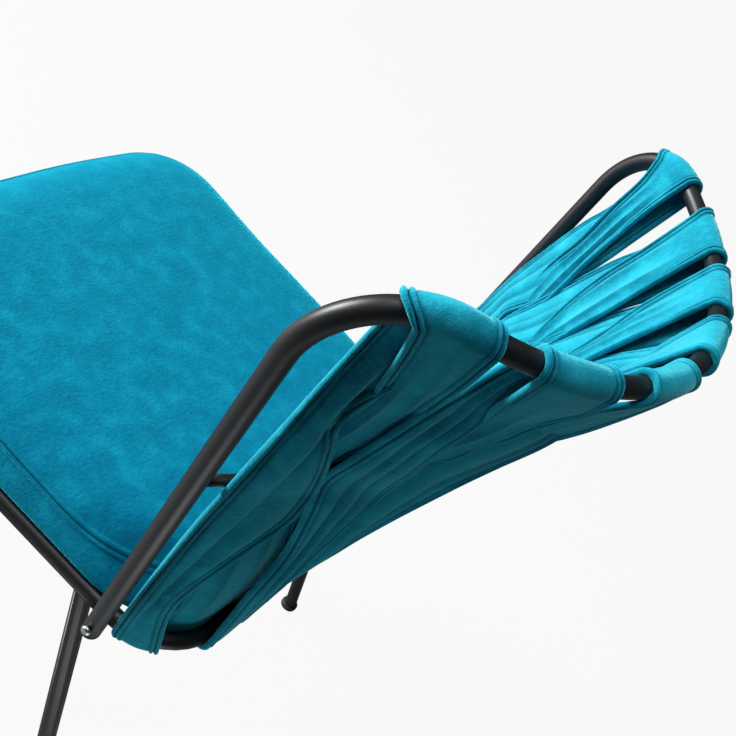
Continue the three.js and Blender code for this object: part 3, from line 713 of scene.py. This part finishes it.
def fold_height(wrap, side, share, across, half, free):
    width = 2 * half
    spare = math.sqrt(max(0.0, FULL_WIDTH / width - 1) + 0.04)
    marks = valleys(wrap, side, share)
    height = 0.0
    for left, right in zip(marks[:-1], marks[1:]):
        if left <= across <= right:
            crown = max(0.0, math.sin(math.pi * (across - left) / (right - left))) ** 0.95
            height = (crown - 0.45) * ROLL_HEIGHT * (right - left) * half * spare
    if (wrap, side) == PLEAT_WRAP and share > PLEAT_START:
        over = 1 / (1 + math.exp(-(across - marks[1]) * half / 0.9))
        height += PLEAT_RISE * (over - 0.6) * min(1.0, (share - PLEAT_START) / 0.2)
    loose = noise.noise(Vector((2.2 * across, 2.6 * share, 4.7 * wrap + 2 * side)))
    edge = 1 - abs(across) ** 6
    return free * edge * (max(LOWEST_FOLD, min(HIGHEST_FOLD, height)) + LOOSE_RISE * loose)


def freedom(share):
    from_rail = min(1.0, max(0.0, (abs(share) - 0.06) / 0.3))
    from_ring = min(1.0, (2 - abs(share)) / 0.3)
    return from_rail * from_ring


print("valleys across the pleat at the rod:", [round(mark, 2) for mark in valleys(*PLEAT_WRAP, 1.0)])

# %% Bend a grid onto the threads
GROOVES = ((4.7, 1.0), (9.4, 0.7))
GROOVE_WIDTH = 0.9


def make_strap(wrap):
    lines, shares = strap_surface(wrap)
    rows = len(shares)
    free = [freedom(share) for share in shares]
    frames = []
    for i in range(rows):
        row = []
        for j in range(THREADS):
            left, right = lines[max(0, j - 1)][i], lines[min(THREADS - 1, j + 1)][i]
            before, after = lines[j][max(0, i - 1)], lines[j][min(rows - 1, i + 1)]
            width = (right - left).normalized()
            row.append((lines[j][i], width.cross(after - before).normalized()))
        half = sum((lines[j + 1][i] - lines[j][i]).length for j in range(THREADS - 1)) / 2
        frames.append((row, half))

    mesh = bpy.data.meshes.new(f"back_strap_{wrap + 1}")
    bm = bmesh.new()
    bm.loops.layers.uv.new("cloth")
    crease = bm.verts.layers.float.new("crease")
    bmesh.ops.create_grid(bm, x_segments=AROUND, y_segments=rows - 1, size=0.5, calc_uvs=True)
    sections = [section(half, ease) for (_, half), ease in zip(frames, free)]
    for vertex in bm.verts:
        i = round((vertex.co.y + 0.5) * (rows - 1))
        k = round((vertex.co.x + 0.5) * AROUND) % AROUND
        row, half = frames[i]
        offset, height = sections[i][k]
        across = offset / half
        spot = (across + 1) / 2 * (THREADS - 1)
        j = min(THREADS - 2, int(spot))
        blend = spot - j
        point = row[j][0].lerp(row[j + 1][0], blend)
        normal = row[j][1].lerp(row[j + 1][1], blend).normalized()
        side = -1 if shares[i] > 0 else 1
        rise = fold_height(wrap, side, abs(shares[i]), across, half, free[i])
        from_edge = half - abs(offset)
        # Painted shade: the crease value darkens the colour in the two hem grooves and, in the free runs,
        # along the fold valleys.
        groove = sum(deep * math.exp(-((from_edge - at) / GROOVE_WIDTH) ** 2) for at, deep in GROOVES)
        valley = min(abs(across - mark) for mark in valleys(wrap, side, abs(shares[i]))[1:3])
        vertex[crease] = min(1.0, groove + 0.45 * free[i] * math.exp(-(valley * half / 3.5) ** 2))
        vertex.co = metres(point + normal * (height + rise))
    bmesh.ops.remove_doubles(bm, verts=bm.verts, dist=1e-6)
    bmesh.ops.holes_fill(bm, edges=[edge for edge in bm.edges if edge.is_boundary])
    bmesh.ops.recalc_face_normals(bm, faces=bm.faces)
    bm.to_mesh(mesh)
    bm.free()
    mesh.shade_smooth()
    strap = bpy.data.objects.new(mesh.name, mesh)
    scene.collection.objects.link(strap)
    mesh.materials.append(strap_velvet)
    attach(strap, "root")
    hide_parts(f"back_band_{wrap + 1}")
    return strap


straps = [make_strap(wrap) for wrap in range(len(RAIL_PLACES))]
print("faces in each strap:", [len(strap.data.polygons) for strap in straps])

# %% [markdown]
# ## The cushion
# The seat cushion is a thick foam pad in a sewn velvet cover: a flat underside, sides that bulge a little
# over the ring, and a top panel that swells over the foam. Its rear corners are cut round to clear the
# back. A hand-shaped block would look stiff, so a closed bag of that form is blown up by cloth
# simulation. Each level of the bag has its height, how far it is set in from the outline, and the radius
# of its rear corners. As in the photograph, the front edge swells a few millimetres to the right of its
# middle, and the right side is drawn in by a hair near the front.

# %% Outline of the cushion, shrunk by an inset
CUSHION_HALF = 245.0
CUSHION_REAR = 128.6
CUSHION_FRONT = 605.0
REAR_ROUND = 150.0
FRONT_ROUND = 75.0
CUSHION_LOW = 411.5


def seat_outline(inset, count, rear_round=REAR_ROUND):
    half, rear, front = CUSHION_HALF - inset, -CUSHION_REAR - inset, -CUSHION_FRONT + inset
    corners = [
        (-half + rear_round - inset, rear - rear_round + inset, rear_round - inset, 90),
        (-half + FRONT_ROUND - inset, front + FRONT_ROUND - inset, FRONT_ROUND - inset, 180),
        (half - FRONT_ROUND + inset, front + FRONT_ROUND - inset, FRONT_ROUND - inset, 270),
        (half - rear_round + inset, rear - rear_round + inset, rear_round - inset, 0),
    ]
    corner_points = []
    for x, y, radius, start in corners:
        for step in range(13):
            angle = math.radians(start + 90 * step / 12)
            corner_points.append(Vector((x + radius * math.cos(angle), y + radius * math.sin(angle))))
    lengths = [0.0]
    closed = corner_points + corner_points[:1]
    for a, b in zip(closed[:-1], closed[1:]):
        lengths.append(lengths[-1] + (b - a).length)
    points = []
    at = 0
    for i in range(count):
        distance = lengths[-1] * i / count
        while lengths[at + 1] < distance:
            at += 1
        share = (distance - lengths[at]) / (lengths[at + 1] - lengths[at])
        points.append(closed[at].lerp(closed[at + 1], share))
    return points


print("cushion perimeter points:", len(seat_outline(0, 160)))

# %% The pad before it is blown up
LEVELS = [(CUSHION_LOW, 0, 88), (CUSHION_LOW + 1.5, -4, 88), (CUSHION_LOW + 5, -7, 90), (424, -8, 102)]
LEVELS += [(434, -6, 122), (446, -1.5, 142), (451, 2, 150), (456, 6.5, 150), (462, 16, 150)]
LEVELS += [(466.5, 31, 150), (469, 56, 150), (470, 100, 150)]
COUNT = 160
SWELL, SWELL_PLACE, SWELL_WIDTH = 5.0, -55.0, 120.0
LEAN_IN = 2.0
REAR_GAP = 4.0


def place_point(spot, height):
    swell = SWELL * math.exp(-((spot.x - SWELL_PLACE) / SWELL_WIDTH) ** 2) if spot.y < -500 else 0
    lean = LEAN_IN * min(1.0, max(0.0, (-spot.y - 380) / 100)) * min(1.0, max(0.0, -spot.x / 235))
    return metres(Vector((spot.x + lean, min(spot.y - swell, -CUSHION_REAR - REAR_GAP), height)))


pad = bpy.data.meshes.new("seat_pad")
bm = bmesh.new()
ring = bmesh.ops.create_circle(bm, segments=COUNT, radius=1, cap_ends=False)["verts"]
ring = sorted(ring, key=lambda vertex: math.atan2(vertex.co.y, vertex.co.x))
edges = list(bm.edges)
for number, (height, inset, rear_round) in enumerate(LEVELS):
    if number:
        grown = bmesh.ops.extrude_edge_only(bm, edges=edges)["geom"]
        fresh = {item for item in grown if isinstance(item, bmesh.types.BMVert)}
        edges = [item for item in grown if isinstance(item, bmesh.types.BMEdge)]
        linked = [[edge.other_vert(vertex) for edge in vertex.link_edges] for vertex in ring]
        ring = [next(end for end in ends if end in fresh) for ends in linked]
    for vertex, spot in zip(ring, seat_outline(inset, COUNT, rear_round)):
        vertex.co = place_point(spot, height)
bmesh.ops.holes_fill(bm, edges=[edge for edge in bm.edges if edge.is_boundary])
bmesh.ops.recalc_face_normals(bm, faces=bm.faces)
bm.to_mesh(pad)
bm.free()
cushion = bpy.data.objects.new("seat_pad", pad)
scene.collection.objects.link(cushion)
print("pad points:", len(pad.vertices))

# %% [markdown]
# The simulation moves the points of the cover unevenly, and some too far. So each move is capped and
# evened out with those of the points around it, and no dent is left. Near the bottom, where the pad lies
# on the ring, only a small part of each move is kept. No point may pass the plane of the underside or
# the flat rear edge.

# %% Blow it up
VOXEL = 0.0055
FURTHEST_MOVE = 0.008
EVENING_PASSES = 60
HOLD_TO, HOLD_FADE, LEAST_SHARE = 414, 22, 0.15


def only(piece):
    bpy.ops.object.select_all(action="DESELECT")
    piece.select_set(True)
    bpy.context.view_layer.objects.active = piece


only(cushion)
remesh = cushion.modifiers.new("voxels", "REMESH")
remesh.mode = "VOXEL"
remesh.voxel_size = VOXEL
bpy.ops.object.modifier_apply(modifier="voxels")
before = [vertex.co.copy() for vertex in pad.vertices]
cloth = cushion.modifiers.new("cover", "CLOTH")
cloth.settings.use_pressure = True
cloth.settings.uniform_pressure_force = 4.0
cloth.settings.effector_weights.gravity = 0
cloth.settings.bending_stiffness = 4.0
cloth.settings.quality = 5
for step in range(1, 21):
    scene.frame_set(step)
bpy.ops.object.modifier_apply(modifier="cover")
scene.frame_set(1)
pad = cushion.data
moves = np.array([vertex.co - start for vertex, start in zip(pad.vertices, before)])
length = np.linalg.norm(moves, axis=1, keepdims=True)
moves *= np.minimum(1.0, FURTHEST_MOVE / np.maximum(length, 1e-9))
ends = np.array([edge.vertices[:] for edge in pad.edges])
for _ in range(EVENING_PASSES):
    total = np.zeros_like(moves)
    number = np.zeros((len(moves), 1))
    for here, there in ((0, 1), (1, 0)):
        np.add.at(total, ends[:, here], moves[ends[:, there]])
        np.add.at(number, ends[:, here], 1)
    moves = total / number
for vertex, start, move in zip(pad.vertices, before, moves):
    held = min(1.0, max(LEAST_SHARE, (start.z * 1000 - HOLD_TO) / HOLD_FADE))
    spot = start + Vector(move) * held
    spot.y = min(spot.y, BACK_LINE - CUSHION_REAR / 1000)
    spot.z = max(spot.z, CUSHION_LOW / 1000)
    vertex.co = spot
furthest = 1000 * np.linalg.norm(moves, axis=1).max()
print("points:", len(pad.vertices), "furthest move, mm:", round(furthest, 1))

# %% Smooth it and divide it once
only(cushion)
soften = cushion.modifiers.new("soften", "SMOOTH")
soften.factor = 0.5
soften.iterations = 3
bpy.ops.object.modifier_apply(modifier="soften")
finer = cushion.modifiers.new("finer", "SUBSURF")
finer.levels = 1
finer.render_levels = 1
bpy.ops.object.modifier_apply(modifier="finer")
pad = cushion.data
print("points in the finer pad:", len(pad.vertices))

# %% [markdown]
# Where the top panel meets the side, the cover is sewn twice: two soft ridges with a deep groove between
# them run round the whole pad. The pad's own mesh is too coarse for a seam 10 mm wide, so the seam is a
# closed ribbon that lies on the pad. Rays from outside find the skin at each station, and the profile's
# points are raised from there along the skin's normal. Each point of the profile is its height from the
# seam's middle and how far it stands out.

# %% The seam
SEAM_PROFILE = [(-5.2, -1.0), (-4.8, 0.3), (-3.6, 1.2), (-2.2, 1.6), (-0.9, 1.0), (0, 0.15)]
SEAM_PROFILE += [(0.9, 1.0), (2.2, 1.6), (3.6, 1.2), (4.8, 0.3), (5.2, -1.0), (0, -1.6)]
SEAM_COUNT = 480
SEAM_REACH = 20
bm = bmesh.new()
bm.from_mesh(pad)
surface = BVHTree.FromBMesh(bm)
crease = bm.verts.layers.float.new("crease")
old = set(bm.verts)
across_count = len(SEAM_PROFILE)
bmesh.ops.create_grid(bm, x_segments=across_count, y_segments=SEAM_COUNT, size=0.5)
inner, outer = seat_outline(SEAM_REACH, SEAM_COUNT), seat_outline(-SEAM_REACH, SEAM_COUNT)
skin = []
for a, b in zip(inner, outer):
    way = (Vector((a.x, a.y, 0)) - Vector((b.x, b.y, 0))).normalized()
    line = []
    for offset, _ in SEAM_PROFILE:
        start = metres(Vector((b.x, b.y, SEAT_HEIGHT + offset)))
        spot, normal, _, _ = surface.ray_cast(start, way)
        line.append((spot, normal))
    skin.append(line)
for vertex in bm.verts:
    if vertex in old:
        continue
    j = round((vertex.co.x + 0.5) * across_count) % across_count
    i = round((vertex.co.y + 0.5) * SEAM_COUNT) % SEAM_COUNT
    spot, normal = skin[i][j]
    offset, rise = SEAM_PROFILE[j]
    # Painted shade: the crease value darkens the seam's middle groove and its two outer edges, where it
    # meets the skin.
    vertex[crease] = math.exp(-(offset / 0.8) ** 2) + 0.5 * math.exp(-((abs(offset) - 5.0) / 0.5) ** 2)
    vertex.co = spot + normal * (rise / 1000)
added = [vertex for vertex in bm.verts if vertex not in old]
bmesh.ops.remove_doubles(bm, verts=added, dist=1e-7)
added_faces = [face for face in bm.faces if not old.intersection(face.verts)]
bmesh.ops.recalc_face_normals(bm, faces=added_faces)
bm.to_mesh(pad)
bm.free()
print("seam points:", len(added))

pad.shade_smooth()
pad.materials.clear()
pad.materials.append(cushion_velvet)
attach(cushion, "root")
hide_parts("seat_cushion")
low = [min(v.co[axis] for v in pad.vertices) for axis in range(3)]
high = [max(v.co[axis] for v in pad.vertices) for axis in range(3)]
print("cushion from", [round(v, 3) for v in low], "to", [round(v, 3) for v in high])

# %% [markdown]
# ## The metal, plastic and wood
# The frame is steel tube with a satin black powder coat. Up close the coat has a faint pebbled skin,
# and it picks up long soft highlights. The glides and plugs are matt moulded plastic, the screws and
# bolts zinc plated, and the board under the cushion is birch plywood.

# %% Finishes
def textured(name, colour, other, scale, roughness, metallic, bump, distance, stretch=(1, 1, 1)):
    material, tree, shader = new_material(name)
    where = add(tree, "ShaderNodeTexCoord")
    turned = add(tree, "ShaderNodeMapping")
    turned.inputs["Scale"].default_value = stretch
    tree.links.new(where.outputs["Object"], turned.inputs["Vector"])
    texture = add(tree, "ShaderNodeTexNoise")
    texture.inputs["Scale"].default_value = scale
    texture.inputs["Detail"].default_value = 3
    tree.links.new(turned.outputs["Vector"], texture.inputs["Vector"])
    ramp = add(tree, "ShaderNodeMapRange")
    ramp.inputs["From Min"].default_value = 0.35
    ramp.inputs["From Max"].default_value = 0.65
    tree.links.new(texture.outputs["Fac"], ramp.inputs["Value"])
    tint = add(tree, "ShaderNodeMix", data_type="RGBA")
    tint.inputs[6].default_value = (*colour, 1)
    tint.inputs[7].default_value = (*other, 1)
    tree.links.new(ramp.outputs["Result"], tint.inputs[0])
    tree.links.new(tint.outputs[2], shader.inputs["Base Color"])
    gloss = add(tree, "ShaderNodeMapRange")
    gloss.inputs["To Min"].default_value = roughness - 0.05
    gloss.inputs["To Max"].default_value = roughness + 0.05
    tree.links.new(texture.outputs["Fac"], gloss.inputs["Value"])
    tree.links.new(gloss.outputs["Result"], shader.inputs["Roughness"])
    relief = add(tree, "ShaderNodeBump")
    relief.inputs["Strength"].default_value = bump
    relief.inputs["Distance"].default_value = distance
    tree.links.new(texture.outputs["Fac"], relief.inputs["Height"])
    tree.links.new(relief.outputs["Normal"], shader.inputs["Normal"])
    shader.inputs["Metallic"].default_value = metallic
    return material


powder_coat = textured(
    "powder_coat", (0.004, 0.0055, 0.007), (0.007, 0.009, 0.0115),
    scale=700, roughness=0.42, metallic=0.0, bump=0.12, distance=0.0002,
)
glide_plastic = textured(
    "glide_plastic", (0.014, 0.014, 0.015), (0.02, 0.02, 0.022),
    scale=1500, roughness=0.6, metallic=0.0, bump=0.25, distance=0.0002,
)
zinc_plate = textured(
    "zinc_plate", (0.5, 0.51, 0.53), (0.62, 0.63, 0.64),
    scale=500, roughness=0.32, metallic=1.0, bump=0.1, distance=0.0001,
)
plywood = textured(
    "plywood", (0.5, 0.33, 0.18), (0.62, 0.44, 0.26),
    scale=60, roughness=0.62, metallic=0.0, bump=0.2, distance=0.0003, stretch=(0.12, 1, 3),
)
FINISHES = (("glide_", glide_plastic), ("post_plug_", glide_plastic), ("post_bolt_", zinc_plate))
FINISHES += (("seat_screw_", zinc_plate), ("seat_board", plywood))
for name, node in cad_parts.items():
    finish = next((look for start, look in FINISHES if name.startswith(start)), powder_coat)
    node.data.materials.clear()
    node.data.materials.append(finish)
print("finished nodes:", len(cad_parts))

# %% [markdown]
# The rail's CAD tube has twelve sides, and they show along its bends. So above the lower part of the
# posts it is swept again along the same centre line as a tube of 36 sides, and joined to the posts, which
# keep the holes for their bolts. A subdivision would round the bends too, but it would also shrink the
# tube and soften the holes.

# %% The rail, swept again
RAIL_SIDES = 36
JOIN = 432.0


def post_at(height):
    return post_foot + post_down * ((RING_HEIGHT - height) / -post_down.z)


def rail_line():
    far = rail_reach + BEND_RADIUS * bend_angle
    post = [post_at(JOIN + 5).lerp(rail_place(far)[0], k / 6) for k in range(6)]
    bend = [rail_place(far + (rail_reach - far) * k / 24)[0] for k in range(24)]
    top = [rail_place(rail_reach * (1 - k / 40))[0] for k in range(41)]
    half = post + bend + top
    return half + [mirrored(point) for point in reversed(half[:-1])]


def sweep_rail(bm):
    whole = list(bm.verts) + list(bm.edges) + list(bm.faces)
    bmesh.ops.bisect_plane(
        bm, geom=whole, plane_co=(0, 0, JOIN / 1000), plane_no=(0, 0, 1), clear_outer=True,
    )
    line = rail_line()
    rises = []
    rise = Vector((1, 0, 0))
    for i in range(len(line)):
        along = (line[min(i + 1, len(line) - 1)] - line[max(i - 1, 0)]).normalized()
        rise = (rise - along * along.dot(rise)).normalized()
        rises.append((rise.copy(), along.cross(rise)))
    grid = bmesh.ops.create_grid(bm, x_segments=RAIL_SIDES, y_segments=len(line) - 1, size=0.5)
    for vertex in grid["verts"]:
        i = round((vertex.co.y + 0.5) * (len(line) - 1))
        turn = 2 * math.pi * (round((vertex.co.x + 0.5) * RAIL_SIDES) % RAIL_SIDES) / RAIL_SIDES
        one, other = rises[i]
        vertex.co = metres(line[i] + (one * math.cos(turn) + other * math.sin(turn)) * TUBE_RADIUS)
    bmesh.ops.remove_doubles(bm, verts=bm.verts, dist=1e-6)
    for side in (-1, 1):
        rims = [edge for edge in bm.edges if edge.is_boundary and edge.verts[0].co.x * side > 0]
        bmesh.ops.bridge_loops(bm, edges=rims)
    bmesh.ops.recalc_face_normals(bm, faces=bm.faces)
    print("open edges on the rail:", sum(edge.is_boundary for edge in bm.edges))


print("stations along the rail:", len(rail_line()))

# %% [markdown]
# The tubes come from the CAD model as flat facets, and a glossy coat would show each of them. A copy of
# each tube has its corners welded and its faces shaded as one smooth surface, with only the cut ends
# kept sharp. Apart from the rail's, no corner moves.

# %% Smooth copies of the bent and round metal
ROUND_PARTS = ("rail_", "seat_ring", "lumbar_", "leg_", "glide_", "post_")


def smooth_copy(name):
    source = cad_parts[name]
    mesh = source.data.copy()
    mesh.name = f"{name}_smooth"
    bm = bmesh.new()
    bm.from_mesh(mesh)
    bmesh.ops.remove_doubles(bm, verts=bm.verts, dist=1e-5)
    if name == "rail_and_posts":
        sweep_rail(bm)
    bm.to_mesh(mesh)
    bm.free()
    mesh.shade_smooth()
    mesh.set_sharp_from_angle(angle=math.radians(40))
    piece = bpy.data.objects.new(mesh.name, mesh)
    scene.collection.objects.link(piece)
    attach(piece, "root")
    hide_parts(name)
    return piece


smoothed = [smooth_copy(name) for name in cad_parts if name.startswith(ROUND_PARTS)]
print("smoothed:", len(smoothed))
